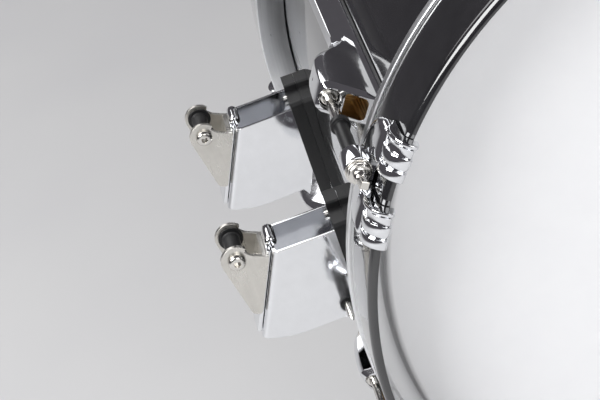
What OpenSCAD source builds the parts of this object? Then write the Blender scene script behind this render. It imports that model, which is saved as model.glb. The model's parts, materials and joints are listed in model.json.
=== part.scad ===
/* [Shell and heads] */
// Outer diameter of the wooden shell
shell_d = 457.2; // [450:0.1:465]
// Length of the shell, from bearing edge to bearing edge
shell_l = 355.6; // [350:0.1:362]
// Thickness of the shell wall
shell_t = 7.5; // [6:0.1:8.5]
// Thickness of the head film
film_t = 0.5; // [0.4:0.05:0.6]
// Width of each flesh hoop along the drum
flesh_w = 6; // [5:0.1:6.5]

/* [Wooden hoops] */
// Width of each wooden hoop along the drum
hoop_w = 48.8; // [46:0.1:50]
// Radial thickness of each wooden hoop
hoop_t = 5; // [4.5:0.1:9]
// Gap between the shell and the wooden hoop
hoop_gap = 13.4; // [9:0.1:14]
// Radius of the rounded outer front edge
hoop_round = 4.2; // [3:0.1:4.3]

/* [Lugs and tension rods] */
// Number of lugs round the shell
lug_count = 8; // [8:1:8]
// Angle of the first lug above the carrier side
lug_angle = 30.7; // [30:0.1:31.2]
// Distance of the rod axis from the shell surface
rod_out = 28.4; // [28:0.1:29]
// Diameter of a tension rod
rod_d = 6; // [5.5:0.1:6]
// Distance from the middle of the drum to the end of a lug
lug_half = 117; // [112:0.5:120]
// Width of a lug housing
lug_w = 18; // [16:0.5:19]

/* [Claws] */
// Width of one claw finger along the hoop
finger_w = 23; // [20:0.5:24]
// Distance between the middles of the two fingers
finger_pitch = 40; // [38:0.5:41]
// Thickness of the claw where it lies on the hoop
claw_t = 4.6; // [4:0.1:5]

/* [Carrier brackets] */
// Distance between the middles of the two brackets
bracket_pitch = 152.4; // [150:0.1:160]
// Width of a channel across its side plates
channel_w = 30.6; // [30:0.1:32]
// Height of a channel at its foot
channel_h = 61.4; // [60:0.1:62]
// Thickness of the channel plate
channel_t = 2; // [1.5:0.1:2.5]
// Lean of the channel's outer end from the vertical
end_tilt = 23; // [22:0.5:24]
// Distance from the shell to the roller axis
roller_out = 73.7; // [73:0.1:74.5]
// Height of the roller axis above the drum axis
roller_up = 32.6; // [32:0.1:33]
// Diameter of the rubber roller
roller_d = 10.4; // [9:0.1:12]

/* [Hidden] */
SIDES = ["front", "rear"];
$fn = 64;

shell_r = shell_d / 2;
half_l = shell_l / 2;
edge_r = shell_r - 2.1;                     // circle where the film rests on the shell
hoop_in = shell_r + hoop_gap;
hoop_out = hoop_in + hoop_t;
flesh_x1 = half_l - 9.2;                    // face between the flesh hoop and the wooden hoop
flesh_x0 = flesh_x1 - flesh_w;
hoop_x1 = flesh_x1 + hoop_w;
film_gap = 0.4;                             // collar of the film to the shell
rod_r = rod_d / 2;
rod_rad = shell_r + rod_out;                // radius of the circle of rods
turn_fit = 0.06;                            // radial clearance of a turning shaft
skin = 0.8;                                 // thickness of the gasket under a lug
lug_base_r = shell_r + skin;
lug_top = shell_r + 35.9;                   // outer face of a lug housing
bridge_top = shell_r + 14;
lug_lean = 12;                              // how much further a lug reaches at the shell
nut_r = 5.4;
nut_x0 = lug_half - 22;
nut_x1 = lug_half + 1.6;
hub_x0 = 184;
hub_x1 = 198;
hub_r = 7.6;
hub_web = 11;                               // thickness of the web that carries the hub
bush_r = 4;
washer_x1 = hub_x1 + 2;
rod_x0 = nut_x0 + 2;
ball_x = washer_x1 + 4.6;
ball_r = 3.9;
tip_x1 = hoop_x1 - 3;
tip_w = 4.6;
pad_t = 0.9;
pad_r = hoop_out + 0.1;
claw_r = pad_r + pad_t;
claw_x1 = hoop_x1 + 0.1 + pad_t;
claw_tip_r = hoop_out - 7;
finger_half = finger_w / 2 / hoop_out * 180 / PI;
finger_angle = finger_pitch / 2 / hoop_out * 180 / PI;
foot_y = shell_r + 13.4;                    // face of the base that the channel stands on
seam_y = shell_r + 5;                       // face between the base and the saddle
base_w = 34;
base_z = 35;
ear_z = 39.6;                               // end of the bolt ears of the base
ear_w = 15;                                 // width of a bolt ear
foot_z = 44;                                // lower end of a channel's foot
side_x = channel_w / 2;
half_h = channel_h / 2;
end_out = shell_r + 65;                     // outer end of the channel, at the height of the axis
flange_t = 2.5;
rail_t = 3;
rail_w = 23.2;
curl_r = 3.7;
web_t = 2.5;
yoke_w = 28.6;
ear_t = 2.4;
lip = 1.5;                                  // where the ears start, outside the channel's end
roller_r = roller_d / 2;
axle_r = 3;
axle_head = 3.4;

function arc(cx, cy, r, a0, a1, n = 8) =
    [for (i = [0:n]) let (a = a0 + (a1 - a0) * i / n) [cx + r * cos(a), cy + r * sin(a)]];
function lug_at(i) = lug_angle - (i - 1) * 360 / lug_count;
function side_of(name) = name == "front" ? 1 : -1;

// The origin is midway between the two rollers, so the drum axis lies behind and below it.
module drum() translate([0, shell_r + roller_out, -roller_up]) children();
// A frame at an angle round the drum: X along the drum, Y round it, Z away from its axis.
module at_angle(a) rotate([90 - a, 0, 0]) children();
module at_lugs() for (i = [1:lug_count]) at_angle(lug_at(i)) children();
// The front half as drawn, or its mirror image for the rear.
module side(s) mirror([s < 0 ? 1 : 0, 0, 0]) children();
// An outline of radius and length, turned about the drum axis.
module ring() rotate([0, 90, 0]) rotate_extrude($fn = 192) children();
// The same over a short arc centred on the local Z direction.
module sector(half, mid = 0) rotate([180 - half - mid, 0, 0]) rotate([0, 90, 0])
    rotate_extrude(angle = 2 * half, $fn = 360) children();
// An outline of radius and length, turned about the local X axis.
module turned() rotate([0, 90, 0]) rotate_extrude($fn = 48) children();
// A rod of radius r along X, from x0 to x1.
module bar(r, x0, x1) translate([x0, 0, 0]) rotate([0, 90, 0]) cylinder(r = r, h = x1 - x0);
// A radial pin of radius r, from radius r0 to r1.
module spoke(r, r0, r1) translate([0, 0, r0]) cylinder(r = r, h = r1 - r0);
// An outline in the YZ plane, given a width along X.
module across(x0, x1) translate([x0, 0, 0]) rotate([90, 0, 90]) linear_extrude(x1 - x0) children();

// An outline of radius and length, given a width across the drum.
module along(y0, y1) translate([0, y0, 0]) rotate([-90, -90, 0]) linear_extrude(y1 - y0) children();

// ---- shell and heads ----
screw_x = [62, 100];
bolt_places = [[-9.5, 33.8], [9.5, -33.8], [0, 16], [0, -16]];   // along the drum, up the drum
vent_angle = 98;

module lug_screw_places() for (s = [-1, 1]) for (x = screw_x) translate([s * x, 0, 0]) children();
module bracket_places() for (s = [-1, 1]) translate([s * bracket_pitch / 2, 0, 0]) children();
module bolt_spots() at_angle(0) for (p = bolt_places) translate([p[0], p[1], 0]) children();

module shell() color([0.05, 0.05, 0.06]) difference() {
    ring() polygon([
        [shell_r - shell_t, -half_l + 5.4], [edge_r, -half_l], [shell_r, -half_l + 2.1],
        [shell_r, half_l - 2.1], [edge_r, half_l], [shell_r - shell_t, half_l - 5.4]]);
    at_lugs() lug_screw_places() spoke(2.8, shell_r - 20, shell_r + 5);
    bracket_places() bolt_spots() spoke(3.2, shell_r - 20, shell_r + 5);
    at_angle(vent_angle) spoke(6.2, shell_r - 20, shell_r + 5);
}

module vent_grommet() color("silver") at_angle(vent_angle) difference() {
    union() {
        spoke(6, shell_r - shell_t - 1.2, shell_r + 1.2);
        spoke(9.5, shell_r + 0.4, shell_r + 1.8);
        spoke(9, shell_r - shell_t - 2, shell_r - shell_t - 0.5);
    }
    spoke(4.2, shell_r - 20, shell_r + 5);
}

module head() color([0.95, 0.95, 0.95]) ring() polygon(concat(
    [[0, half_l]],
    [[edge_r, half_l], [shell_r + film_gap, half_l - 2.2], [shell_r + film_gap, flesh_x1 + 2],
     [shell_r + 2.4, flesh_x1]],
    [[hoop_in - 0.6, flesh_x1], [hoop_in - 0.6, flesh_x1 + film_t],
     [shell_r + 2.6, flesh_x1 + film_t], [shell_r + film_gap + film_t, flesh_x1 + 2.4]],
    [[shell_r + film_gap + film_t, half_l - 2], [edge_r + 0.2, half_l + film_t], [0, half_l + film_t]]));

module flesh_hoop() color([0.82, 0.83, 0.85]) ring() polygon(concat(
    [[shell_r + 0.5, flesh_x0]],
    arc(hoop_out + 0.7, flesh_x0 + 0.8, 0.8, -90, 0, 4),
    arc(hoop_out + 0.7, flesh_x1 - 0.8, 0.8, 0, 90, 4),
    [[shell_r + 2.4, flesh_x1], [shell_r + 0.5, flesh_x1 - 1.4]]));

module hoop() color([0.06, 0.06, 0.07]) ring() polygon(concat(
    [[hoop_in, flesh_x1]],
    arc(hoop_out - 1, flesh_x1 + 1, 1, -90, 0, 3),
    arc(hoop_out - hoop_round, hoop_x1 - hoop_round, hoop_round, 0, 90),
    arc(hoop_in + 0.6, hoop_x1 - 0.6, 0.6, 90, 180, 3)));

// ---- lugs, nuts and rods ----
// The bridge of a lug is a long bar with a flat top, sloping sides and a wider foot.
module lug_bridge() across(-lug_half + 15, lug_half - 15)
    polygon([[-10, shell_r - 3], [-10, shell_r + 1.6], [-7, shell_r + 7.6], [-2.8, bridge_top],
             [2.8, bridge_top], [7, shell_r + 7.6], [10, shell_r + 1.6], [10, shell_r - 3]]);

// Side view of a housing: an arched back that rises from the bridge, and an upright end.
module housing_profile() polygon(concat(
    [[46, shell_r - 3], [46, bridge_top - 6], [54, bridge_top], [61, bridge_top + 4]],
    arc(92, lug_top - 24, 24, 145, 90, 8),
    [[lug_half - 3, lug_top], [lug_half + 1, lug_top - 3], [lug_half + lug_lean, shell_r - 3]]));

// Plan of a housing: a pointed arch that widens from the top of the bridge.
module housing_plan() polygon(concat(
    [[46, -10], [58, -6.2]],
    [[68, -8], [78, -lug_w / 2], [lug_half + lug_lean, -lug_w / 2],
     [lug_half + lug_lean, lug_w / 2], [78, lug_w / 2], [68, 8], [58, 6.2], [46, 10]]));

module lug_housing() difference() {
    intersection() {
        translate([0, 20, 0]) rotate([90, 0, 0]) linear_extrude(40) housing_profile();
        translate([0, 0, shell_r - 10]) linear_extrude(60) housing_plan();
    }
    translate([0, 0, rod_rad]) bar(nut_r + 0.2, nut_x0, lug_half + 5);
    translate([lug_half - 24, -6.2, shell_r + 9]) cube([50, 12.4, 12]);
}

module lug() color([0.86, 0.87, 0.9]) difference() {
    union() {
        lug_bridge();
        for (s = [-1, 1]) side(s) lug_housing();
    }
    rotate([0, 90, 0]) cylinder(r = lug_base_r, h = 400, center = true, $fn = 192);
    lug_screw_places() spoke(2.6, shell_r - 5, shell_r + 7);
}

module lug_gaskets() color([0.08, 0.08, 0.08]) at_lugs() difference() {
    intersection() {
        rotate([0, 90, 0]) cylinder(r = lug_base_r - 0.05, h = 2 * lug_half + 40, center = true, $fn = 192);
        translate([0, 0, shell_r]) cube([2 * lug_half + 24, 21.4, 10], center = true);
    }
    rotate([0, 90, 0]) cylinder(r = shell_r + 0.05, h = 400, center = true, $fn = 192);
    lug_screw_places() spoke(2.8, shell_r - 5, shell_r + 7);
}

module lug_screws() color("silver") at_lugs() lug_screw_places() {
    spoke(2.5, shell_r - shell_t - 3, shell_r + 6);
    difference() {
        union() {
            spoke(7, shell_r - shell_t - 2.6, shell_r - shell_t - 1.2);
            spoke(4.6, shell_r - shell_t - 5.4, shell_r - shell_t - 2.6);
        }
        spoke(2.4, shell_r - shell_t - 6, shell_r - shell_t - 4);
    }
}

module swivel_nut() translate([0, 0, rod_rad]) difference() {
    union() {
        bar(nut_r, nut_x0 + 0.3, nut_x1 - 2);
        bar(nut_r - 0.7, nut_x1 - 2, nut_x1 - 0.8);
        bar(nut_r - 1.7, nut_x1 - 0.8, nut_x1);
    }
    bar(rod_r + turn_fit, nut_x0, nut_x1 + 1);
}
module swivel_nuts(s) color([0.78, 0.76, 0.7]) side(s) at_lugs() swivel_nut();

// A rod turns in its nut. Its head has a flange, a ball and a square for the key.
module rod(s, i) color([0.75, 0.74, 0.7]) side(s) at_angle(lug_at(i)) translate([0, 0, rod_rad]) {
    turned() polygon(concat(
        [[0, rod_x0], [rod_r - 0.8, rod_x0], [rod_r, rod_x0 + 0.8], [rod_r, washer_x1 + 0.1]],
        [[6.6, washer_x1 + 0.1], [6.6, washer_x1 + 1.5], [5.8, washer_x1 + 1.8],
         [5.8, washer_x1 + 3], [3.5, washer_x1 + 3.3]],
        arc(0, ball_x, ball_r, -10, 62, 8),
        [[0, ball_x + ball_r - 0.4]]));
    translate([ball_x, -tip_w / 2, -tip_w / 2]) cube([tip_x1 - ball_x, tip_w, tip_w]);
}

module rod_bushings(s) color([0.1, 0.1, 0.1]) side(s) at_lugs() translate([0, 0, rod_rad]) difference() {
    union() {
        bar(bush_r, 148, hub_x1 - 0.4);
        bar(5.6, 147.4, 151);
    }
    bar(rod_r + turn_fit, 140, hub_x1 + 5);
}

module rod_washers(s) color("silver") side(s) at_lugs() translate([0, 0, rod_rad]) difference() {
    bar(7.2, hub_x1, washer_x1);
    bar(rod_r + 0.3, hub_x1 - 1, washer_x1 + 1);
}

// ---- claws ----
// Hook of a finger, as radius and length, between two depths into the metal.
module finger_outline(t0, t1, back, tip) polygon(concat(
    [[claw_r + t0, back], [claw_r + t1, back]],
    arc(claw_r + t1 - 9, claw_x1 + t1 - 9, 9, 0, 90),
    [[tip, claw_x1 + t1], [tip, claw_x1 + t0]],
    arc(claw_r + t0 - hoop_round - 1, claw_x1 + t0 - hoop_round - 1, hoop_round + 1, 90, 0, 5)));

// The hook is ribbed like a spool. Each rib has a start and an end along the finger and a height.
ribs = [[-11.4, -6, 1.2], [-4.6, 3, 1.9], [4.2, 9.6, 1.2], [9.7, 11.6, 2.6]];

module finger(m) rotate([-m * finger_angle, 0, 0]) {
    along(-finger_w / 2, finger_w / 2) finger_outline(0, claw_t - 1.2, 190, claw_tip_r);
    for (k = ribs) along(k[0], k[1]) finger_outline(1, claw_t - 1.2 + k[2], 204, claw_tip_r + 0.8);
}

// Plan of the saddle that joins the hub to both fingers, with the notch for the rod's head.
module saddle_plan() polygon([
    [170, -8], [174, -13], [182, -23], [192, -29.5], [202, -31.4], [208, -30.8],
    [208, -9], [hub_x1, -9.4], [hub_x1, 9.4], [208, 9],
    [208, 30.8], [202, 31.4], [192, 29.5], [182, 23], [174, 13], [170, 8]]);

module claw() difference() {
    union() {
        intersection() {
            translate([0, 0, claw_r + 0.2]) linear_extrude(claw_t) saddle_plan();
            along(-40, 40) polygon([
                [claw_r, 169], [claw_r + 3.6, 171], [claw_r + 4.8, 180], [claw_r + 4.8, 200],
                [claw_r + 3.4, 209], [claw_r, 209]]);
        }
        finger(1);
        finger(-1);
        translate([0, 0, rod_rad]) bar(hub_r, hub_x0, hub_x1 - 0.02);
        along(-hub_web / 2, hub_web / 2) polygon([
            [claw_r + 1, 173], [claw_r + 5, 177], [rod_rad - 4, hub_x0 + 1], [rod_rad, hub_x0 + 1],
            [rod_rad, hub_x1 - 0.5], [claw_r + 1, hub_x1 - 0.5]]);
    }
    translate([0, 0, rod_rad]) bar(bush_r + 0.1, 165, hub_x1 + 5);
}
module claws(s) color([0.88, 0.89, 0.92]) side(s) at_lugs() claw();

module claw_pads(s) color([0.06, 0.06, 0.06]) side(s) at_lugs() for (m = [-1, 1])
    sector(finger_half * 0.9, m * finger_angle) polygon(concat(
        [[pad_r, 198], [claw_r - 0.1, 198]],
        arc(claw_r - hoop_round - 1.1, claw_x1 - hoop_round - 1.1, hoop_round + 1, 0, 90),
        [[claw_tip_r + 0.6, claw_x1 - 0.1], [claw_tip_r + 0.6, hoop_x1 + 0.1]],
        arc(hoop_out - hoop_round, hoop_x1 + 0.1 - hoop_round, hoop_round + 0.1, 90, 0)));

// ---- carrier brackets ----
// The outer end of a channel leans, so what is fixed there is drawn in a leaning frame:
// X along the drum, -Y outwards and Z up the leaning face.
module end_frame() translate([0, -end_out, 0]) rotate([-end_tilt, 0, 0]) children();

// Side view of a channel: level at the top, curved up at the outer end underneath, and with
// a gusset that runs down the foot.
belly_r = 70;
module channel_side() polygon(concat(
    [[-foot_y, half_h], [-end_out - 40, half_h - 1.5], [-end_out - 40, -half_h + 14]],
    arc(-shell_r - 48, belly_r - half_h - 1, belly_r, 238, 270, 12),
    [[-foot_y - 10, -half_h], [-foot_y - flange_t, -foot_z], [-foot_y, -foot_z]]));

// Plan of a channel seen along its leaning end, with rounded corners there.
module channel_plan(inset) polygon(concat(
    [[side_x - inset, 120], [-side_x + inset, 120]],
    arc(-side_x + 4, 4, 4 - inset, 180, 270, 6),
    arc(side_x - 4, 4, 4 - inset, 270, 360, 6)));

module channel_block(inset) end_frame() translate([0, 0, -90]) linear_extrude(180) channel_plan(inset);

// A rail stiffens the end, and its top edge is rolled over for part of its width.
module rail() end_frame() {
    translate([-rail_w / 2, -rail_t, -25.5]) cube([rail_w, rail_t + 0.5, 57.1]);
    translate([0, 0.6, 33.4]) bar(curl_r, 0.2 - rail_w / 2, 4.5);
}

module yoke_screw_spots() end_frame() for (z = [-1, 19]) translate([0, 0, z]) rotate([90, 0, 0]) children();

// The channel is open above and below. A flange at its foot joins it to the base.
module channel(s) color([0.87, 0.88, 0.9]) translate([s * bracket_pitch / 2, 0, 0]) difference() {
    union() {
        difference() {
            intersection() {
                across(-side_x - 1, side_x + 1) channel_side();
                channel_block(0);
            }
            intersection() {
                channel_block(channel_t);
                across(-side_x - 1, side_x + 1)
                    translate([-foot_y - flange_t - 90, -90]) square([90, 180]);
            }
        }
        rail();
    }
    yoke_screw_spots() translate([0, 0, -20]) cylinder(r = 2.6, h = 40);
    at_angle(0) for (p = bolt_places) if (p[0] == 0)
        translate([p[0], p[1], 0]) spoke(3.05, foot_y - 5, foot_y + 10);
}

// Half the outline of the black base, along the drum and up it. It has a bolt ear at one corner.
half_outline = concat(
    arc(base_w / 2 - 3, base_z - 3, 3, 0, 90, 5),
    [[ear_w - base_w / 2, base_z]],
    arc(ear_w - base_w / 2 - 1.5, ear_z - 1.5, 1.5, 0, 90, 4),
    arc(1.5 - base_w / 2, ear_z - 1.5, 1.5, 90, 180, 4));
module base_outline() polygon(concat(half_outline, [for (p = half_outline) -p]));

module bracket_base(s) color([0.08, 0.08, 0.09]) translate([s * bracket_pitch / 2, 0, 0]) difference() {
    at_angle(0) translate([0, 0, seam_y + 0.15]) linear_extrude(foot_y - seam_y - 0.15) base_outline();
    bolt_spots() spoke(3.2, shell_r, foot_y - 2);
    at_angle(0) for (p = bolt_places) if (p[0] == 0)
        translate([p[0], p[1], 0]) spoke(3.2, shell_r, foot_y + 5);
}

module bracket_saddle(s) color([0.06, 0.06, 0.07]) translate([s * bracket_pitch / 2, 0, 0]) difference() {
    at_angle(0) translate([0, 0, shell_r - 10]) linear_extrude(seam_y - shell_r + 10) base_outline();
    rotate([0, 90, 0]) cylinder(r = shell_r + 0.05, h = 100, center = true, $fn = 192);
    bolt_spots() spoke(3.2, shell_r - 20, shell_r + 20);
}

module bracket_backing_plates() color([0.6, 0.6, 0.62]) bracket_places() difference() {
    intersection() {
        rotate([0, 90, 0]) cylinder(r = shell_r - shell_t - 0.05, h = 60, center = true, $fn = 192);
        at_angle(0) translate([0, 0, shell_r - shell_t - 15]) linear_extrude(20)
            square([40, 92], center = true);
    }
    rotate([0, 90, 0]) cylinder(r = shell_r - shell_t - 2.5, h = 100, center = true, $fn = 192);
    bolt_spots() spoke(3.2, shell_r - 30, shell_r + 5);
}

// The heads lie on the backing plate, whose inner face curves away from the outer bolts.
module bracket_bolts() color("silver") bracket_places() at_angle(0) for (p = bolt_places) {
    seat = sqrt(pow(shell_r - shell_t - 2.5, 2) - pow(abs(p[1]) + 6.6, 2));
    translate([p[0], p[1], 0]) {
        spoke(3, seat - 1, p[0] == 0 ? foot_y + flange_t : foot_y - 2.5);
        spoke(6.6, seat - 1.4, seat - 0.1);
        translate([0, 0, seat - 6]) cylinder(r = 5.8, h = 4.7, $fn = 6);
    }
}

// ---- yokes and rollers ----
// Roller axis in the leaning frame.
roll_dy = -(shell_r + roller_out) + end_out;
roll_a = -(roll_dy * cos(end_tilt) - roller_up * sin(end_tilt));
roll_t = -roll_dy * -sin(end_tilt) + roller_up * cos(end_tilt);
tongue_r = 9.5;
ear_low = [8.7, -7.1];

// Direction from the round end's centre to where the straight outer edge of an ear touches it.
function touch_angle(p, c, r) = let (d = c - p) atan2(d[1], d[0]) - asin(r / norm(d)) - 90;

module ear_outline() polygon(concat(
    [[lip, 30], [lip, -9], [lip + 1.5, -10.5]],
    arc(5.4, -7.4, 3.4, -80, -35, 4),
    arc(roll_a, roll_t, tongue_r, touch_angle(ear_low, [roll_a, roll_t], tongue_r), 118, 20),
    arc(9.6, roll_t + 14.4, 11, -50, -90, 6)));

module ear(x0) end_frame() translate([x0, 0, 0]) rotate([90, 0, 90]) linear_extrude(ear_t)
    scale([-1, 1]) ear_outline();

module yoke(s) color([0.78, 0.77, 0.73]) translate([s * bracket_pitch / 2, 0, 0]) difference() {
    union() {
        ear(yoke_w / 2 - ear_t);
        ear(-yoke_w / 2);
        end_frame() translate([-yoke_w / 2 + 0.5, -rail_t - web_t - 0.1, -8.6])
            cube([yoke_w - 1, web_t, 38.3]);
    }
    roller_line() bar(axle_r + turn_fit, -40, 40);
    yoke_screw_spots() translate([0, 0, -20]) cylinder(r = 2.6, h = 40);
}

module yoke_screws() color("silver") bracket_places() yoke_screw_spots() {
    translate([0, 0, -channel_t - 4]) cylinder(r = 2.5, h = channel_t + rail_t + web_t + 6);
    translate([0, 0, rail_t + web_t + 0.2]) cylinder(r = 4.4, h = 2.2);
    translate([0, 0, -channel_t - 4]) cylinder(r = 4.4, h = 3.8, $fn = 6);
}

module roller_line() translate([0, -shell_r - roller_out, roller_up]) children();

module roller(s) color([0.07, 0.07, 0.07]) translate([s * bracket_pitch / 2, 0, 0]) roller_line()
    difference() {
        union() {
            bar(roller_r, -10.2, 10.2);
            for (m = [-1, 1]) side(m) bar(roller_r + 0.6, 9, 10.2);
        }
        bar(axle_r + turn_fit, -20, 20);
    }

module roller_bolts() color("silver") bracket_places() roller_line() {
    bar(axle_r, -yoke_w / 2 - 6, yoke_w / 2 + 0.5);
    translate([yoke_w / 2, 0, 0]) difference() {
        turned() polygon(concat(
            [[0, 0.05], [5.4, 0.05], [5.4, 1.4]], arc(2.9, 1.4, 2.5, 0, 75, 6), [[0, axle_head + 0.6]]));
        translate([1.2, 0, 0]) rotate([0, 90, 0]) cylinder(r = 2.3, h = 5, $fn = 6);
    }
}

module roller_washers() color([0.08, 0.08, 0.09]) bracket_places() roller_line() for (m = [-1, 1]) side(m)
    difference() {
        bar(7.6, 10.5, 11.7);
        bar(axle_r + 0.2, 5, 15);
    }

module roller_nuts() color("silver") bracket_places() roller_line() difference() {
    union() {
        translate([-yoke_w / 2 - 5.2, 0, 0]) rotate([0, 90, 0]) cylinder(r = 5.8, h = 4.2, $fn = 6);
        bar(5.7, -yoke_w / 2 - 1, -yoke_w / 2 - 0.05);
    }
    bar(axle_r + 0.05, -30, 0);
}

drum() shell();
drum() vent_grommet();
for (n = SIDES) {
    s = side_of(n);
    drum() side(s) head();
    drum() side(s) flesh_hoop();
    drum() side(s) hoop();
    drum() swivel_nuts(s);
    for (i = [1:lug_count])
        drum() rod(s, i);
    drum() rod_bushings(s);
    drum() rod_washers(s);
    drum() claws(s);
    drum() claw_pads(s);
    drum() channel(s);
    drum() bracket_base(s);
    drum() bracket_saddle(s);
    drum() yoke(s);
    drum() roller(s);
}
for (i = [1:lug_count])
    drum() at_angle(lug_at(i)) lug();
drum() lug_gaskets();
drum() lug_screws();
drum() bracket_backing_plates();
drum() bracket_bolts();
drum() yoke_screws();
drum() roller_bolts();
drum() roller_washers();
drum() roller_nuts();
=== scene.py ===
import json
import math
import bmesh
import bpy
from mathutils import Matrix, Vector


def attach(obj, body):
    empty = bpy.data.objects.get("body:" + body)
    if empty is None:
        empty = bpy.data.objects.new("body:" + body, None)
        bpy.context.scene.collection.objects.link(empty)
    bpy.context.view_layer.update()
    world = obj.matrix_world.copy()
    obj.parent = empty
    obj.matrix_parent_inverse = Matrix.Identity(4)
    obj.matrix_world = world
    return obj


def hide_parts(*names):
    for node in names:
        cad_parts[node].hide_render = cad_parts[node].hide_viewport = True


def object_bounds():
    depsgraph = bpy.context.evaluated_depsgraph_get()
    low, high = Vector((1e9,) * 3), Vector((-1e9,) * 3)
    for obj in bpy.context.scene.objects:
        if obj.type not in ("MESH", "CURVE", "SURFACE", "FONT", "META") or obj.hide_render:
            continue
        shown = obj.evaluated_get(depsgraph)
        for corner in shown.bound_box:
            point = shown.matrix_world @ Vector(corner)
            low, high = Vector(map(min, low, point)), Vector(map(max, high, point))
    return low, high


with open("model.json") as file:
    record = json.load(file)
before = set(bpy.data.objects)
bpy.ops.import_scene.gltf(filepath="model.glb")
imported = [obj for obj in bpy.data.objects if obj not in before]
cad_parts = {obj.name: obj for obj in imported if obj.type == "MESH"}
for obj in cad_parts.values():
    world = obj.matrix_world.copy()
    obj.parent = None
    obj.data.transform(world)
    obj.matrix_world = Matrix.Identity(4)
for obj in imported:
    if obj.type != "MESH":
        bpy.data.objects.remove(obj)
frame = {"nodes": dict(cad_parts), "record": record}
cad_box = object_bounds()

# Sizes are in millimetres from the drum's own axis: X along it, then Y and Z as in the row frame.
MM = 0.001
ROLLER_Y, ROLLER_Z = -302.3, 32.6
DRUM = Matrix.Translation((0, -ROLLER_Y * MM, -ROLLER_Z * MM))
HALF_L, SHELL_R = 177.8, 228.6
FLESH_X0, FLESH_X1 = 162.6, 168.6
HOOP_IN, HOOP_OUT, HOOP_X0, HOOP_X1 = 242.0, 247.0, 168.6, 217.4
ROD_R, LUG_ANGLE, LUGS = 257.0, 30.7, 8
BRACKET_X = 76.2
END_Y, END_TILT = -293.6, math.radians(23)


# ---- materials ----
class Look:
    """A principled material with a few shortcuts for adding noise to it."""

    def __init__(self, name, colour, rough, metal=0.0, **sockets):
        self.m = bpy.data.materials.new(name)
        self.m.use_nodes = True
        self.nt = self.m.node_tree
        self.p = self.nt.nodes["Principled BSDF"]
        self.p.inputs["Base Color"].default_value = (*colour, 1)
        self.p.inputs["Roughness"].default_value = rough
        self.p.inputs["Metallic"].default_value = metal
        for k, v in sockets.items():
            self.p.inputs[k.replace("_", " ")].default_value = v
        self.rough = rough
        self.coords = self.nt.nodes.new("ShaderNodeTexCoord").outputs["Object"]
        self.last_normal = None

    def link(self, a, b):
        self.nt.links.new(a, b)

    def node(self, kind, **values):
        n = self.nt.nodes.new(kind)
        for k, v in values.items():
            if k in n.inputs:
                n.inputs[k].default_value = v
            else:
                setattr(n, k, v)
        return n

    def stretched(self, scale):
        n = self.node("ShaderNodeMapping")
        n.inputs["Scale"].default_value = scale
        self.link(self.coords, n.inputs["Vector"])
        return n.outputs["Vector"]

    def round_drum(self, around, across):
        """Coordinates that hardly change round the drum's axis, for marks made on a lathe."""
        sep = self.node("ShaderNodeSeparateXYZ")
        shift = self.node("ShaderNodeVectorMath", operation="SUBTRACT")
        self.link(self.coords, shift.inputs[0])
        shift.inputs[1].default_value = DRUM.to_translation()
        self.link(shift.outputs[0], sep.inputs[0])
        angle = self.node("ShaderNodeMath", operation="ARCTAN2")
        self.link(sep.outputs["Y"], angle.inputs[0])
        self.link(sep.outputs["Z"], angle.inputs[1])
        flat = self.node("ShaderNodeCombineXYZ")
        self.link(sep.outputs["Y"], flat.inputs["X"])
        self.link(sep.outputs["Z"], flat.inputs["Y"])
        length = self.node("ShaderNodeVectorMath", operation="LENGTH")
        self.link(flat.outputs[0], length.inputs[0])
        out = self.node("ShaderNodeCombineXYZ")
        for value, k, socket in ((angle.outputs[0], around, "X"), (length.outputs["Value"], across, "Y"),
                                 (sep.outputs["X"], across, "Z")):
            times = self.node("ShaderNodeMath", operation="MULTIPLY")
            self.link(value, times.inputs[0])
            times.inputs[1].default_value = k
            self.link(times.outputs[0], out.inputs[socket])
        return out.outputs[0]

    def noise(self, scale, detail=3.0, rough=0.5, vector=None):
        n = self.node("ShaderNodeTexNoise")
        n.inputs["Scale"].default_value = scale
        n.inputs["Detail"].default_value = detail
        n.inputs["Roughness"].default_value = rough
        self.link(vector or self.coords, n.inputs["Vector"])
        return n.outputs["Fac"]

    def ramp(self, value, low, high, a=0.0, b=1.0):
        n = self.node("ShaderNodeMapRange")
        self.link(value, n.inputs["Value"])
        for k, v in (("From Min", low), ("From Max", high), ("To Min", a), ("To Max", b)):
            n.inputs[k].default_value = v
        return n.outputs["Result"]

    def add(self, a, b):
        n = self.node("ShaderNodeMath", operation="ADD")
        self.link(a, n.inputs[0])
        self.link(b, n.inputs[1])
        return n.outputs[0]

    def vary_rough(self, value, low, high, a, b):
        self.link(self.ramp(value, low, high, a, b), self.p.inputs["Roughness"])

    def vary_colour(self, value, low, high, a, b):
        t = self.ramp(value, low, high)
        mix = self.node("ShaderNodeMix", data_type="RGBA")
        self.link(t, mix.inputs["Factor"])
        mix.inputs["A"].default_value = (*a, 1)
        mix.inputs["B"].default_value = (*b, 1)
        self.link(mix.outputs["Result"], self.p.inputs["Base Color"])

    def bump(self, value, strength, distance):
        n = self.node("ShaderNodeBump")
        n.inputs["Strength"].default_value = strength
        n.inputs["Distance"].default_value = distance
        self.link(value, n.inputs["Height"])
        if self.last_normal:
            self.link(self.last_normal, n.inputs["Normal"])
        self.last_normal = n.outputs["Normal"]
        self.link(self.last_normal, self.p.inputs["Normal"])


def lacquer(name, colour, grain):
    k = Look(name, colour, 0.1, Coat_Weight=1.0, Coat_Roughness=0.03, Coat_IOR=1.55)
    k.vary_colour(k.noise(55, 4, 0.6), 0.35, 0.7, colour, tuple(c * 1.6 + 0.002 for c in colour))
    haze = k.add(k.noise(9, 3, 0.6), k.noise(900, 2, 0.5, k.round_drum(0.25, 1.0)))
    k.vary_rough(haze, 0.7, 1.35, 0.07, 0.16)
    k.bump(k.noise(grain, 2, 0.45), 0.05, 0.0004)
    k.bump(k.noise(26, 1, 0.3), 0.05, 0.0012)
    return k.m


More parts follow.
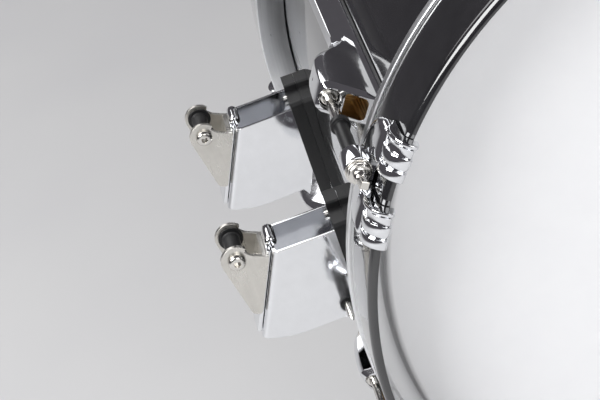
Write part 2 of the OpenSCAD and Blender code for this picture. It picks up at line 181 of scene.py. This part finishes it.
def chrome(name, colour=(0.83, 0.84, 0.86), low=0.03, high=0.1):
    k = Look(name, colour, 0.05, 1.0)
    smear = k.add(k.noise(38, 5, 0.62), k.noise(210, 3, 0.6))
    k.vary_rough(smear, 0.75, 1.35, low, high)
    k.vary_colour(k.noise(120, 3, 0.6), 0.3, 0.75, tuple(c * 0.95 for c in colour), colour)
    k.bump(k.noise(300, 1, 0.4), 0.01, 0.00003)
    return k.m


def drawn_metal(name, colour, low, high, stretch, scratch=0.06):
    """Metal with fine lines along one direction, as brushing or turning leaves."""
    k = Look(name, colour, (low + high) / 2, 1.0)
    lines = k.noise(420, 4, 0.65, k.stretched(stretch))
    k.vary_rough(k.add(lines, k.noise(45, 4, 0.6)), 0.7, 1.3, low, high)
    k.vary_colour(k.add(lines, k.noise(160, 3, 0.5)), 0.6, 1.4, tuple(c * 0.86 for c in colour), colour)
    k.bump(lines, scratch, 0.0001)
    return k.m


def moulded(name, colour, low, high, grain, depth):
    k = Look(name, colour, (low + high) / 2)
    fine = k.noise(grain, 3, 0.6)
    worn = tuple(c * 1.8 + 0.002 for c in colour)
    k.vary_colour(k.add(fine, k.noise(30, 4, 0.6)), 0.6, 1.4, colour, worn)
    k.vary_rough(k.add(fine, k.noise(60, 4, 0.6)), 0.7, 1.3, low, high)
    k.bump(fine, 0.25, depth)
    return k.m


def film_look():
    k = Look("film", (0.86, 0.865, 0.875), 0.34, Coat_Weight=0.25, Coat_Roughness=0.2)
    cloud = k.add(k.noise(7, 4, 0.55), k.noise(60, 4, 0.6))
    k.vary_colour(cloud, 0.6, 1.4, (0.845, 0.85, 0.865), (0.875, 0.88, 0.89))
    k.vary_rough(cloud, 0.7, 1.3, 0.3, 0.42)
    k.bump(k.noise(1500, 2, 0.5), 0.08, 0.00008)
    return k.m


def hoop_metal():
    k = Look("flesh_hoop_metal", (0.84, 0.85, 0.86), 0.3, 1.0)
    lines = k.noise(900, 2, 0.5, k.round_drum(0.003, 1.0))
    k.vary_rough(k.add(lines, k.noise(40, 3, 0.6)), 0.7, 1.3, 0.26, 0.36)
    k.vary_colour(lines, 0.3, 0.7, (0.8, 0.81, 0.82), (0.86, 0.87, 0.88))
    k.bump(lines, 0.02, 0.00005)
    return k.m


def pocket_reflection_look():
    """Bare cast metal whose warm colour and dark-to-light streaks, running straight away from the drum, are a
    painted reflection.
    """
    k = Look("cast_pocket", (0.6, 0.45, 0.25), 0.35, 1.0)
    streaks = k.noise(420, 3, 0.6, k.round_drum(0.5, 0.07))
    # Painted reflection: the golden-brown streak colours stand in for warm light mirrored in the pocket's
    # walls.
    k.vary_colour(streaks, 0.36, 0.64, (0.2, 0.12, 0.05), (0.9, 0.72, 0.44))
    k.vary_rough(k.add(streaks, k.noise(300, 3, 0.6)), 0.7, 1.3, 0.28, 0.45)
    k.bump(streaks, 0.1, 0.0001)
    return k.m


LOOKS = {
    "shell_lacquer": lacquer("shell_lacquer", (0.006, 0.006, 0.007), 380),
    "hoop_lacquer": lacquer("hoop_lacquer", (0.008, 0.008, 0.009), 460),
    "film": film_look(),
    "aluminium": hoop_metal(),
    "chrome": chrome("chrome"),
    "nickel": drawn_metal("satin_nickel", (0.72, 0.70, 0.655), 0.22, 0.38, (1.0, 1.0, 0.05)),
    "steel": drawn_metal("polished_steel", (0.74, 0.72, 0.68), 0.12, 0.26, (1.0, 0.08, 0.08), 0.02),
    "black_plastic": moulded("black_plastic", (0.006, 0.006, 0.0065), 0.3, 0.48, 1400, 0.00012),
    "black_rubber": moulded("black_rubber", (0.008, 0.008, 0.0085), 0.45, 0.65, 900, 0.0002),
}
POCKET_REFLECTION = pocket_reflection_look()

slot_of = {s["node"]: s["material_slot"] for s in frame["record"]["subparts"]}


# ---- mesh helpers ----
def local(angle_deg):
    """The place of a piece round the drum: X runs along the drum, Y round it and Z away from it."""
    turn = Matrix.Rotation(math.radians(90 - angle_deg), 4, "X")
    return DRUM @ turn


def piece(name, bm, looks, place=DRUM, angle=32, weld=0.00001):
    """A mesh in millimetres becomes an object of the scene at a place in the row frame."""
    bmesh.ops.transform(bm, matrix=place @ Matrix.Scale(MM, 4), verts=bm.verts)
    if weld:
        bmesh.ops.remove_doubles(bm, verts=bm.verts, dist=weld)
    me = bpy.data.meshes.new(name)
    bm.to_mesh(me)
    bm.free()
    for look in looks:
        me.materials.append(look)
    shade(me, angle)
    ob = bpy.data.objects.new(name, me)
    bpy.context.scene.collection.objects.link(ob)
    return ob


def shade(me, angle):
    me.polygons.foreach_set("use_smooth", [True] * len(me.polygons))
    me.set_sharp_from_angle(angle=math.radians(angle))
    me.update()


def soften(ob, width, segments=3, angle=32):
    """Rounds the edges of a sharp mesh and keeps its flats flat."""
    b = ob.modifiers.new("edges", "BEVEL")
    b.width, b.segments, b.limit_method = width * MM, segments, "ANGLE"
    b.angle_limit = math.radians(angle)
    b.harden_normals = False
    b.miter_outer = "MITER_ARC"
    w = ob.modifiers.new("normals", "WEIGHTED_NORMAL")
    w.weight, w.keep_sharp = 60, False
    ob.data.polygons.foreach_set("use_smooth", [True] * len(ob.data.polygons))
    for e in ob.data.edges:
        e.use_edge_sharp = False


def settle(ob):
    """Applies the modifiers."""
    dg = bpy.context.evaluated_depsgraph_get()
    done = ob.evaluated_get(dg)
    me = bpy.data.meshes.new_from_object(done, preserve_all_data_layers=True, depsgraph=dg)
    old = ob.data
    ob.modifiers.clear()
    ob.data = me
    bpy.data.meshes.remove(old)
    return ob


def lathe(bm, loop, segments=64, centre=(0, 0), close=True):
    """Turns an outline of (radius, x) about the line along X through centre = (y, z)."""
    rings = []
    for i in range(segments):
        c, s = math.cos(2 * math.pi * i / segments), math.sin(2 * math.pi * i / segments)
        rings.append([bm.verts.new((x, centre[0] + r * c, centre[1] + r * s)) for r, x in loop])
    n = len(loop)
    for i in range(segments):
        p, q = rings[i], rings[(i + 1) % segments]
        for j in range(n if close else n - 1):
            k = (j + 1) % n
            on_axis = loop[j][0] < 1e-6, loop[k][0] < 1e-6
            if on_axis == (True, False):
                bm.faces.new((p[j], p[k], q[k]))
            elif on_axis == (False, True):
                bm.faces.new((p[j], p[k], q[j]))
            elif on_axis == (False, False):
                bm.faces.new((p[j], p[k], q[k], q[j]))


def arc(cx, cy, r, a0, a1, n=8):
    out = []
    for i in range(n + 1):
        a = math.radians(a0 + (a1 - a0) * i / n)
        out.append((cx + r * math.cos(a), cy + r * math.sin(a)))
    return out


def round_corners(points, radii, n=5):
    """A closed outline with each corner replaced by an arc of its own radius."""
    out = []
    m = len(points)
    for i, p in enumerate(points):
        r = radii[i] if isinstance(radii, (list, tuple)) else radii
        a, p, b = Vector(points[i - 1]), Vector(p), Vector(points[(i + 1) % m])
        if r <= 0:
            out.append(tuple(p))
            continue
        u, v = (a - p).normalized(), (b - p).normalized()
        half = u.angle(v) / 2
        t = min(r / math.tan(half), 0.49 * (a - p).length, 0.49 * (b - p).length)
        r = t * math.tan(half)
        c = p + (u + v).normalized() * (r / math.sin(half))
        s, e = p + u * t - c, p + v * t - c
        sweep = math.atan2(s.x * e.y - s.y * e.x, s.dot(e))
        for k in range(n + 1):
            w = sweep * k / n
            cw, sw = math.cos(w), math.sin(w)
            out.append((c.x + s.x * cw - s.y * sw, c.y + s.x * sw + s.y * cw))
    return out


def resampled(points, step):
    """The same closed outline with no edge longer than step."""
    out = []
    for p, q in zip(points, points[1:] + points[:1]):
        n = math.ceil(math.dist(p, q) / step)
        out += [(p[0] + (q[0] - p[0]) * k / n, p[1] + (q[1] - p[1]) * k / n) for k in range(n)]
    return out


def slab(bm, outline, lift, low, high, mat=0):
    """A flat outline given a thickness. lift turns (u, v, w) into a point, w going from low to high."""
    a = [bm.verts.new(lift(u, v, low)) for u, v in outline]
    b = [bm.verts.new(lift(u, v, high)) for u, v in outline]
    n = len(outline)
    faces = [bm.faces.new(a), bm.faces.new(list(reversed(b)))]
    for i in range(n):
        j = (i + 1) % n
        faces.append(bm.faces.new((a[i], b[i], b[j], a[j])))
    for f in faces:
        f.material_index = mat
    bmesh.ops.recalc_face_normals(bm, faces=faces)
    return faces


def cut(ob, cutters):
    for c in cutters:
        m = ob.modifiers.new("cut", "BOOLEAN")
        m.operation, m.solver, m.object = "DIFFERENCE", "EXACT", c
        m.material_mode = "TRANSFER"
    settle(ob)
    for c in cutters:
        bpy.data.objects.remove(c)
    return ob


def use(name, me, place, body, slot_name, *nodes):
    """Another copy of a mesh, placed and fixed to a body."""
    me = me.copy()
    me.transform(place)
    ob = bpy.data.objects.new(name, me)
    bpy.context.scene.collection.objects.link(ob)
    return settled(ob, body, slot_name, *nodes)


def settled(ob, body, slot_name, *nodes):
    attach(ob, body)
    if nodes:
        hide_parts(*nodes)
    return ob


def end_frame(x, a, t):
    """A point on a channel's leaning end: a outwards, t up along it."""
    c, s = math.cos(END_TILT), math.sin(END_TILT)
    return (x, END_Y - a * c + t * s, a * s + t * c)


# ---- CAD nodes that keep their shape get their looks and rounded edges ----
KEEP_BEVEL = {"bracket_base": 1.1, "bracket_saddle": 0.8, "lug_gaskets": 0.15, "roller_bolts": 0.25,
              "roller_washers": 0.2, "roller_nuts": 0.3, "yoke_screws": 0.25, "rod_washers": 0.25,
              "swivel_nuts": 0.35, "vent_grommet": 0.4, "claw_pads": 0.15, "rod_bushings": 0.3}
for node, ob in frame["nodes"].items():
    ob.data.materials.clear()
    ob.data.materials.append(LOOKS[slot_of[node]])
    w = ob.modifiers.new("weld", "WELD")
    w.merge_threshold = 0.000002
    width = next((v for k, v in KEEP_BEVEL.items() if node.startswith(k)), 0)
    if width:
        b = ob.modifiers.new("edges", "BEVEL")
        b.width, b.segments, b.limit_method, b.angle_limit = width * MM, 3, "ANGLE", math.radians(40)
    n = ob.modifiers.new("normals", "WEIGHTED_NORMAL")
    n.weight = 60
    ob.data.polygons.foreach_set("use_smooth", [True] * len(ob.data.polygons))

# ---- lugs ----
# Half sections along a lug: x, then (half width, height) from the foot up to the edge of the flat top.
FOOT = [(9.7, 229.3), (9.7, 230.9), (8.3, 233.0)]
LUG_STATIONS = [
    (0, FOOT + [(7.0, 236.2), (6.6, 237.3), (3.3, 242.0), (2.7, 242.6)]),
    (22, FOOT + [(7.0, 236.2), (6.6, 237.3), (3.3, 242.0), (2.7, 242.6)]),
    (42, FOOT + [(7.0, 236.2), (6.6, 237.3), (3.3, 242.0), (2.7, 242.6)]),
    (49, FOOT + [(7.1, 236.6), (6.9, 238.0), (3.5, 242.9), (2.9, 243.5)]),
    (56, FOOT + [(7.4, 237.6), (7.3, 239.6), (3.9, 244.8), (3.2, 245.4)]),
    (63, FOOT + [(8.0, 240.0), (8.0, 243.2), (4.6, 248.2), (3.8, 248.9)]),
    (69, FOOT + [(8.7, 243.0), (8.7, 247.4), (5.5, 251.9), (4.6, 252.7)]),
    (74, FOOT + [(9.3, 245.2), (9.3, 251.0), (6.4, 255.2), (5.3, 256.1)]),
    (79, FOOT + [(9.6, 244.4), (9.6, 254.2), (7.0, 257.8), (5.8, 258.7)]),
    (85, FOOT + [(9.6, 242.6), (9.6, 256.8), (7.4, 260.1), (6.1, 261.0)]),
    (92, FOOT + [(9.6, 240.9), (9.6, 258.2), (7.6, 261.3), (6.3, 262.2)]),
    (100, FOOT + [(9.6, 239.7), (9.6, 259.0), (7.7, 262.0), (6.4, 262.9)]),
    (108, FOOT + [(9.6, 239.2), (9.6, 259.3), (7.7, 262.3), (6.4, 263.2)]),
]


def lug_end(height):
    return 118.5 + (262 - height) * 0.38


def lug_ring(bm, half, xs, sign):
    loop = list(half) + [(-w, h) for w, h in reversed(half)]
    return [bm.verts.new((sign * xs(h), w, h)) for w, h in loop]


def lug_mesh():
    bm = bmesh.new()
    for sign in (1, -1):
        rings = [lug_ring(bm, half, lambda h, x=x: x, sign) for x, half in LUG_STATIONS]
        last = LUG_STATIONS[-1][1]
        rings.append(lug_ring(bm, last, lambda h: lug_end(h) - 3.4, sign))
        inner = [(w - (0.4 if h < 233.5 else 2.2), h - (2.4 if h > 258 else 0)) for w, h in last]
        rings.append(lug_ring(bm, inner, lug_end, sign))
        for a, b in zip(rings, rings[1:]):
            n = len(a)
            for i in range(n):
                j = (i + 1) % n
                bm.faces.new((a[i], a[j], b[j], b[i]) if sign < 0 else (a[i], b[i], b[j], a[j]))
        bm.faces.new(rings[-1] if sign < 0 else list(reversed(rings[-1])))
    bmesh.ops.remove_doubles(bm, verts=bm.verts, dist=0.01)
    bmesh.ops.recalc_face_normals(bm, faces=bm.faces)
    flat = Matrix.Identity(4)
    ob = piece("lug_shape", bm, [LOOKS["chrome"], POCKET_REFLECTION], flat)
    cutters = []
    for sign in (1, -1):
        bm = bmesh.new()
        outline = round_corners([(-6.7, 237.4), (6.7, 237.4), (6.7, 249.9), (-6.7, 249.9)],
                                [3.0, 3.0, 1.8, 1.8])
        slab(bm, outline, lambda u, v, w: (sign * w, u, v), 103, 150, 1)
        cutters.append(piece("pocket", bm, [LOOKS["chrome"], POCKET_REFLECTION], flat))
        bm = bmesh.new()
        bore = [(0, 96), (5.7, 96), (5.7, 117.2), (6.6, 118.6), (6.6, 150), (0, 150)]
        lathe(bm, [(r, sign * x) for r, x in bore], 40, (0, ROD_R))
        bmesh.ops.recalc_face_normals(bm, faces=bm.faces)
        cutters.append(piece("bore", bm, [LOOKS["chrome"]], flat))
    cut(ob, cutters)
    soften(ob, 0.45, 3)
    settle(ob)
    me = ob.data
    bpy.data.objects.remove(ob)
    return me


# ---- tension rods ----
THREAD_PITCH = 0.9
TIP_HALF = 2.3


def rod_mesh(sign):
    bm = bmesh.new()
    thread = []
    x = 97.5
    while x < 124:
        thread += [(2.58, x), (3.0, x + 0.3), (3.0, x + 0.5)]
        x += THREAD_PITCH
    shank = [(2.75, 124.6), (3.0, 125.4), (3.0, 200.1)]
    flange = [(6.3, 200.1), (6.6, 200.35), (6.6, 201.15), (6.35, 201.45), (5.9, 201.6), (5.8, 201.9),
              (5.8, 202.7), (5.5, 203.0), (4.0, 203.2), (3.6, 203.5)]
    ball = arc(0, 204.6, 3.9, -10, 62, 14)
    loop = [(0, 97)] + thread + shank + flange + ball + [(1.7, 208.2), (0, 208.2)]
    lathe(bm, [(r, sign * x) for r, x in loop], 48, (0, 0), close=False)
    if sign > 0:
        bmesh.ops.reverse_faces(bm, faces=bm.faces)
    h = TIP_HALF
    tip = round_corners([(-h, -h), (h, -h), (h, h), (-h, h)], 0.5, 3)
    slab(bm, tip, lambda u, v, w: (sign * w, u, v), 205.5, 213.8)
    small = [(u * 0.86, v * 0.86) for u, v in tip]
    slab(bm, small, lambda u, v, w: (sign * w, u, v), 213.6, 214.3)
    bmesh.ops.recalc_face_normals(bm, faces=bm.faces)
    ob = piece("rod_shape", bm, [LOOKS["steel"]], Matrix.Identity(4), 30)
    me = ob.data
    bpy.data.objects.remove(ob)
    return me


# ---- claws ----
# Along a finger: where, and how thick the metal is there.
BAND = [(-11.5, 3.9), (-11.35, 4.4), (-10.95, 4.7), (-6.3, 4.7), (-5.95, 4.55), (-5.8, 4.2)]
BARREL = [(-5.72, 3.2), (-5.5, 3.1), (-5.1, 3.7), (-4.3, 4.35), (-3.2, 4.9), (-1.9, 5.3), (-0.4, 5.58),
          (1.1, 5.65), (2.3, 5.6), (2.75, 5.45), (2.95, 5.1)]
NECK = [(3.02, 4.0), (3.3, 3.9), (4.4, 3.92), (6.2, 4.05), (7.4, 4.35), (8.2, 4.8)]
LIP = [(8.8, 5.5), (9.2, 6.15), (9.7, 6.5), (10.7, 6.6), (11.2, 6.4), (11.42, 5.9), (11.5, 5.2)]
SPOOL = BAND + BARREL + NECK + LIP
CLAW_R, CLAW_X = 248.05, 218.45
CLAW_BEND, HOOK_FROM = 6, 199
FINGER_TURN = math.degrees(20 / HOOP_OUT)


def hook(t):
    """Outline of a finger's hook as (height, x): a round back outside, then along the hoop inside."""
    outer = [(CLAW_R + 0.6, HOOK_FROM)] + arc(CLAW_R - 5.8, CLAW_X - 5.8, 5.8 + t, -44, 90, 36)
    outer += [(241.6, CLAW_X + t - 0.2), (240.7, CLAW_X + t - 0.9), (240.2, CLAW_X + t - 2.1)]
    inner = [(240.1, CLAW_X + 0.5), (240.6, CLAW_X)]
    inner += arc(CLAW_R - CLAW_BEND, CLAW_X - CLAW_BEND, CLAW_BEND, 90, 0, 12) + [(CLAW_R, HOOK_FROM)]
    return outer + inner


def loft(bm, rings):
    """Skins a run of rings that have the same number of points, and closes its two ends."""
    rings = [[bm.verts.new(p) for p in ring] for ring in rings]
    made = [bm.faces.new(rings[0]), bm.faces.new(list(reversed(rings[-1])))]
    for a, b in zip(rings, rings[1:]):
        n = len(a)
        for i in range(n):
            j = (i + 1) % n
            made.append(bm.faces.new((a[i], b[i], b[j], a[j])))
    bmesh.ops.recalc_face_normals(bm, faces=made)


def finger(bm, side):
    turn = Matrix.Rotation(-math.radians(side * FINGER_TURN), 4, "X")
    loft(bm, [[turn @ Vector((x, s, h)) for h, x in hook(t)] for s, t in SPOOL])


# Plan of one wing as x, distance round the drum and the corner's radius.
WING = [(169.5, -1, 2), (171.5, 8.5, 6), (176, 15.8, 10), (182.5, 22.6, 10), (190, 28.1, 10), (198, 31.0, 7),
        (208.3, 31.3, 1.5), (208.3, 9.3, 1.5), (198.1, 9.4, 2), (197.7, -1, 2)]
# Its layers: height, and the plan's size there.
WING_LOW = 248.15
WING_LAYERS = [(WING_LOW, 0.99), (248.5, 1.0), (249.9, 1.0), (250.8, 0.985), (251.6, 0.95), (252.3, 0.885),
               (252.8, 0.8), (253.15, 0.69), (253.35, 0.55), (253.45, 0.36), (253.5, 0.14)]


def wing(bm, side):
    corners, radii = [(x, s) for x, s, _ in WING], [r for _, _, r in WING]
    plan = resampled(round_corners(corners, radii, 5), 1.6)
    rings = []
    for h, k in WING_LAYERS:
        ring = []
        for x, s in plan:
            x, s = 200 + (x - 200) * k, 20 + (s - 20) * k
            fall = max(0, 201 - x) / 31
            ring.append((x, side * s, WING_LOW + (h - WING_LOW) * (1 - 0.52 * fall ** 1.7)))
        rings.append(ring)
    loft(bm, rings)


# Sections of the saddle under the hub: x, height of its top, half width at the top and at the foot.
WEB_LOW = 248.2
WEB = [(170.5, 249.3, 2.6, 4.0), (174, 250.7, 3.6, 6.4), (178, 252.6, 4.5, 8.6), (184.3, 257, 5.3, 10.2),
       (196.9, 257, 5.3, 10.6), (197.6, 257, 5.0, 10.2)]


def hub_web(bm):
    """The saddle under the hub, with a crisp ridge and a flared foot on each side."""
    rings = []
    for x, top, half, foot in WEB:
        rise = top - WEB_LOW
        half_ring = [(foot, WEB_LOW), (foot, 248.5), (foot * 0.86, WEB_LOW + rise * 0.16),
                     (half + 1.5, WEB_LOW + rise * 0.3), (half + 0.5, WEB_LOW + rise * 0.48),
                     (half, WEB_LOW + rise * 0.56), (half - 0.3, top)]
        rings.append([(x, s, h) for s, h in half_ring] + [(x, -s, h) for s, h in reversed(half_ring)])
    loft(bm, rings)


def claw_mesh(sign):
    bm = bmesh.new()
    for side in (1, -1):
        finger(bm, side)
        wing(bm, side)
    hub_web(bm)
    hub = [(4.1, 184.2), (6.9, 184.0), (7.4, 184.3), (7.6, 184.9), (7.6, 197.0), (7.4, 197.6), (6.9, 197.95),
           (4.1, 197.95)]
    lathe(bm, hub, 56, (0, ROD_R))
    bmesh.ops.recalc_face_normals(bm, faces=bm.faces)
    ob = piece("claw_shape", bm, [LOOKS["chrome"]], Matrix.Identity(4), 40, weld=0)
    me = ob.data
    if sign < 0:
        me.transform(Matrix.Diagonal((-1, 1, 1, 1)))
        me.flip_normals()
    bpy.data.objects.remove(ob)
    return me


lug_me = lug_mesh()
rod_me = {1: rod_mesh(1), -1: rod_mesh(-1)}
claw_me = {1: claw_mesh(1), -1: claw_mesh(-1)}
for i in range(1, LUGS + 1):
    at_lug = local(LUG_ANGLE - (i - 1) * 360 / LUGS)
    at_rod = at_lug @ Matrix.Translation((0, 0, ROD_R * MM))
    use("lug_body_%d" % i, lug_me, at_lug, "drum", "chrome", "lug_%d" % i)
    for name, sign in (("front", 1), ("rear", -1)):
        node = "rod_%s_%d" % (name, i)
        use("tension_" + node, rod_me[sign], at_rod, node, "steel", node)
        use("claw_%s_%d" % (name, i), claw_me[sign], at_lug, "drum", "chrome", "claws_" + name)


# ---- carrier brackets ----
def channel_piece(name, x0):
    half, r, t, far = 15.3, 4.0, 2.0, 55
    near = half - r
    outer = [(half, far)] + arc(near, r, r, 0, -90, 8) + arc(-near, r, r, 270, 180, 8) + [(-half, far)]
    inner = ([(t - half, far)] + arc(-near, r, r - t, 180, 270, 8) + arc(near, r, r - t, -90, 0, 8)
             + [(half - t, far)])
    bm = bmesh.new()
    slab(bm, outer + inner, lambda u, v, w: end_frame(x0 + u, -v, w), -70, 70)
    ob = piece(name, bm, [LOOKS["chrome"]])
    side = [(-242, 30.7), (-268, 30.0), (-333, 29.2), (-333, -16)] + arc(-276.6, 38.3, 70, 238, 270, 14)
    side += [(-252, -30.7), (-244.5, -44), (-242, -44)]
    bm = bmesh.new()
    slab(bm, side, lambda u, v, w: (w, u, v), x0 - 20, x0 + 20)
    trim = piece("trim", bm, [LOOKS["chrome"]])
    m = ob.modifiers.new("trim", "BOOLEAN")
    m.operation, m.solver, m.object = "INTERSECT", "EXACT", trim
    settle(ob)
    bpy.data.objects.remove(trim)
    soften(ob, 0.35, 3, 30)
    return ob


def rail_piece(name, x0):
    outline = round_corners([(-11.6, 0.3), (11.6, 0.3), (11.6, 3.0), (-11.6, 3.0)], [0, 0, 0.9, 0.9], 4)
    bm = bmesh.new()
    slab(bm, outline, lambda u, v, w: end_frame(x0 + u, v, w), -25.4, 31.8)
    ob = piece(name, bm, [LOOKS["chrome"]])
    soften(ob, 0.5, 3)
    return ob


def curl_piece(name, x0):
    """The rolled part of the end's top edge."""
    bm = bmesh.new()
    _, y, z = end_frame(0, -0.6, 33.4)
    loop = [(0, -11.5), (2.7, -11.5), (3.4, -11.3), (3.7, -10.6)] + [(3.7, x) for x in (-6, -2, 1)] + \
           [(3.7, 3.2), (3.5, 4.0), (2.8, 4.7), (1.5, 5.1), (0, 5.2)]
    lathe(bm, [(r, x0 + x) for r, x in loop], 48, (y, z), close=False)
    bmesh.ops.recalc_face_normals(bm, faces=bm.faces)
    return piece(name, bm, [LOOKS["chrome"]])


ROLL_A, ROLL_T = 20.75, 26.61


def ear_outline():
    c = Vector((ROLL_A, ROLL_T))
    low = Vector((8.7, -7.1))
    d = c - low
    touch = math.degrees(math.atan2(d.y, d.x) - math.asin(9.5 / d.length)) - 90
    return ([(1.5, 29.6), (1.5, -9.2), (2.2, -10.3), (3.2, -10.8)] + arc(5.4, -7.4, 3.4, -95, -35, 6)
            + arc(ROLL_A, ROLL_T, 9.5, touch, 118, 36) + arc(9.6, ROLL_T + 14.4, 11, -50, -90, 8))


def yoke_piece(name, x0):
    bm = bmesh.new()
    for a, b in ((11.9, 14.3), (-14.3, -11.9)):
        slab(bm, ear_outline(), lambda u, v, w: end_frame(x0 + w, u, v), a, b)
    web = round_corners([(-14.1, 3.1), (14.1, 3.1), (14.1, 5.6), (-14.1, 5.6)], [0.2, 0.2, 2.0, 2.0], 5)
    slab(bm, web, lambda u, v, w: end_frame(x0 + u, v, w), -8.8, 29.7)
    ob = piece(name, bm, [LOOKS["nickel"]])
    soften(ob, 0.35, 3)
    return ob


def roller_piece(name, x0):
    bm = bmesh.new()
    end = [(5.22, 8.8), (5.6, 9.0), (5.8, 9.3), (5.75, 9.95), (5.4, 10.2), (3.06, 10.2)]
    loop = [(r, -x) for r, x in reversed(end)] + [(5.2, x) for x in (-6, -3, 0, 3, 6)] + end
    lathe(bm, [(r, x0 + x) for r, x in loop], 64, (ROLLER_Y, ROLLER_Z))
    bmesh.ops.recalc_face_normals(bm, faces=bm.faces)
    return piece(name, bm, [LOOKS["black_rubber"]])


for name, side in (("front", 1), ("rear", -1)):
    x0 = side * BRACKET_X
    settled(channel_piece("channel_sheet_" + name, x0), "drum", "chrome", "channel_" + name)
    settled(rail_piece("end_rail_" + name, x0), "drum", "chrome", "channel_" + name)
    settled(curl_piece("end_curl_" + name, x0), "drum", "chrome", "channel_" + name)
    settled(yoke_piece("yoke_ears_" + name, x0), "drum", "nickel", "yoke_" + name)
    roller = "roller_" + name
    settled(roller_piece("roller_sleeve_" + name, x0), roller, "black_rubber", roller)


# ---- heads and hoops ----
def ring_piece(name, loop, look, side, segments=256, angle=32):
    bm = bmesh.new()
    lathe(bm, [(r, side * x) for r, x in loop], segments)
    bmesh.ops.remove_doubles(bm, verts=bm.verts, dist=0.0005)
    bmesh.ops.recalc_face_normals(bm, faces=bm.faces)
    return piece(name, bm, [LOOKS[look]], DRUM, angle, 0)


# Half sections as (radius, x).
HOOP_ROUND = 4.2
HOOP_LOOP = ([(HOOP_IN, HOOP_X0 + 0.6), (HOOP_IN + 0.6, HOOP_X0)]
             + arc(HOOP_OUT - 1, HOOP_X0 + 1, 1, -90, 0, 4) + [(HOOP_OUT, x) for x in (180, 191, 202)]
             + arc(HOOP_OUT - HOOP_ROUND, HOOP_X1 - HOOP_ROUND, HOOP_ROUND, 0, 90, 12)
             + arc(HOOP_IN + 0.6, HOOP_X1 - 0.6, 0.6, 90, 180, 5)
             + [(HOOP_IN, x) for x in (202, 191, 180)])
FLESH_LOOP = ([(SHELL_R + 0.5, FLESH_X0 + 0.3), (229.4, FLESH_X0)]
              + arc(247.5, FLESH_X0 + 1, 1.0, -90, 0, 6) + arc(247.5, FLESH_X1 - 1, 1.0, 0, 90, 6)
              + [(231.2, 168.6), (230.0, 168.1), (229.1, 167.2)])
HEAD_UNDER = [(0, HALF_L), (226.4, HALF_L), (228.6, 176.2), (229.05, 175.2), (229.05, 170.8), (231.0, FLESH_X1),
              (241.3, FLESH_X1)]
HEAD_OVER = [(241.3, 169.1), (231.3, 169.1), (229.6, 171.0), (229.6, 175.4), (229.2, 176.6), (228.4, 177.5),
             (227.2, 178.1)]
HEAD_TOP = HALF_L + 0.5
HEAD_LOOP = HEAD_UNDER + HEAD_OVER + [(r, HEAD_TOP) for r in (226.2, 215, 190, 160, 120, 80, 40, 0)]
for name, side in (("front", 1), ("rear", -1)):
    for piece_name, loop, look, node in (("wood_hoop_", HOOP_LOOP, "hoop_lacquer", "hoop_"),
                                         ("flesh_ring_", FLESH_LOOP, "aluminium", "flesh_hoop_"),
                                         ("drumhead_", HEAD_LOOP, "film", "head_")):
        settled(ring_piece(piece_name + name, loop, look, side), "drum", look, node + name)

# ---- stage ----
low, high = cad_box
floor_z = low.z - 0.001
bm = bmesh.new()
bmesh.ops.create_grid(bm, x_segments=8, y_segments=8, size=6)
floor = bpy.data.objects.new("floor", bpy.data.meshes.new("floor"))
bm.to_mesh(floor.data)
bm.free()
floor.location = (0, 0.3, floor_z)
bpy.context.scene.collection.objects.link(floor)
k = Look("floor_paper", (0.64, 0.64, 0.64), 0.75)
k.vary_colour(k.noise(3, 3, 0.5), 0.3, 0.7, (0.62, 0.62, 0.63), (0.66, 0.66, 0.66))
floor.data.materials.append(k.m)

world = bpy.data.worlds.new("studio")
bpy.context.scene.world = world
world.use_nodes = True
world.node_tree.nodes["Background"].inputs["Color"].default_value = (0.54, 0.51, 0.56, 1)
world.node_tree.nodes["Background"].inputs["Strength"].default_value = 0.16


def lamp(name, where, aim, size, power):
    """A soft rectangular light, in metres and watts."""
    data = bpy.data.lights.new(name, "AREA")
    data.shape, data.size, data.size_y, data.energy = "RECTANGLE", size[0], size[1], power
    ob = bpy.data.objects.new(name, data)
    bpy.context.scene.collection.objects.link(ob)
    ob.location = where
    ob.rotation_euler = (Vector(aim) - Vector(where)).to_track_quat("-Z", "Y").to_euler()


lamp("key", (1.0, -1.2, 1.5), (0, 0.2, 0), (1.3, 1.3), 52)
lamp("front", (2.1, 0.9, 0.9), (0, 0.3, 0), (1.6, 1.6), 27)
lamp("rear", (-1.3, -0.6, 1.5), (-0.4, 0, -0.2), (1.7, 1.5), 17)

# ---- camera at the photographer's angle ----
cam_data = bpy.data.cameras.new("camera")
cam_data.sensor_width = 36
cam_data.lens = 109.42
cam = bpy.data.objects.new("camera", cam_data)
bpy.context.scene.collection.objects.link(cam)
right = Vector((0.17024, 0.94279, -0.28665))
up = Vector((-0.50652, 0.33324, 0.79523))
ahead = Vector((-0.84526, -0.00982, -0.53427))
place = Matrix.Translation((0.98369, 0.05749, 0.59008))
cam.matrix_world = place @ Matrix((right, up, -ahead)).transposed().to_4x4()
cam_data.clip_start, cam_data.clip_end = 0.05, 50
bpy.context.scene.camera = cam
bpy.context.scene.view_settings.view_transform = "Standard"
